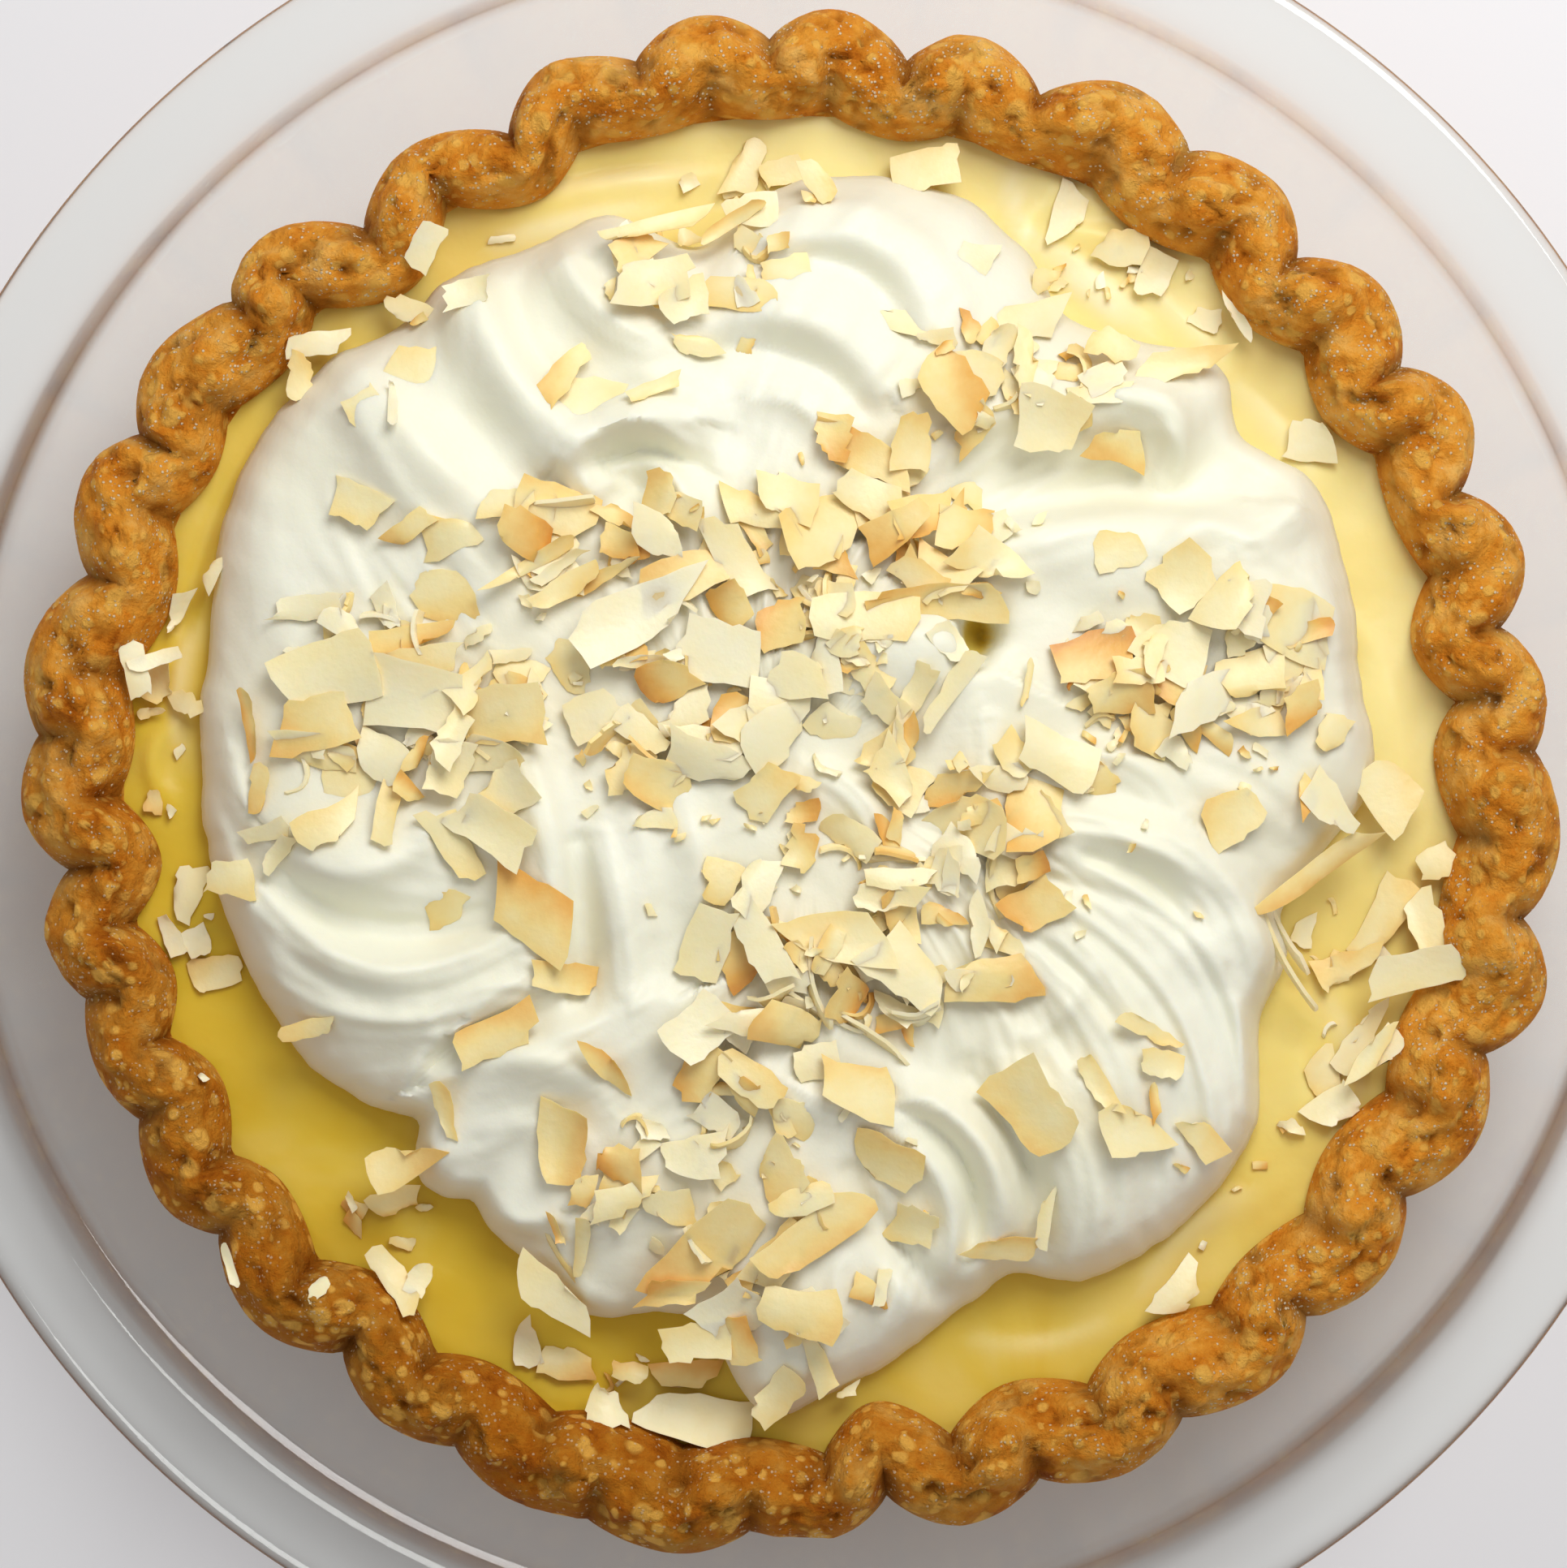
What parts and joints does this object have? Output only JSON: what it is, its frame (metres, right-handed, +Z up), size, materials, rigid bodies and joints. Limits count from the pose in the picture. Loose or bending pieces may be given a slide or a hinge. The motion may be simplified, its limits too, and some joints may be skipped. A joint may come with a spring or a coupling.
{
  "type": "coconut cream pie in a glass dish",
  "caption": "Round open pie in a clear glass dish: crimped pastry rim, yellow custard, spooned whipped cream and coconut flakes.",
  "frame": {"origin": "middle of the underside of the dish, on the surface that it stands on", "axes": "+Z up, the axis of the round dish; +X is the right of the picture and +Y its top"},
  "size_m": [0.24, 0.24, 0.0524],
  "materials": {
    "dish_glass": "clear pressed glass, smooth",
    "baked_pastry": "browned shortcrust, dusted with flour",
    "custard": "set vanilla custard, satin",
    "whipped_cream": "soft whipped cream with toasted coconut flakes"
  },
  "bodies": {
    "root": {"pie_dish": "dish_glass", "crust": "baked_pastry", "custard": "custard", "whipped_cream": "whipped_cream"}
  },
  "joints": []
}
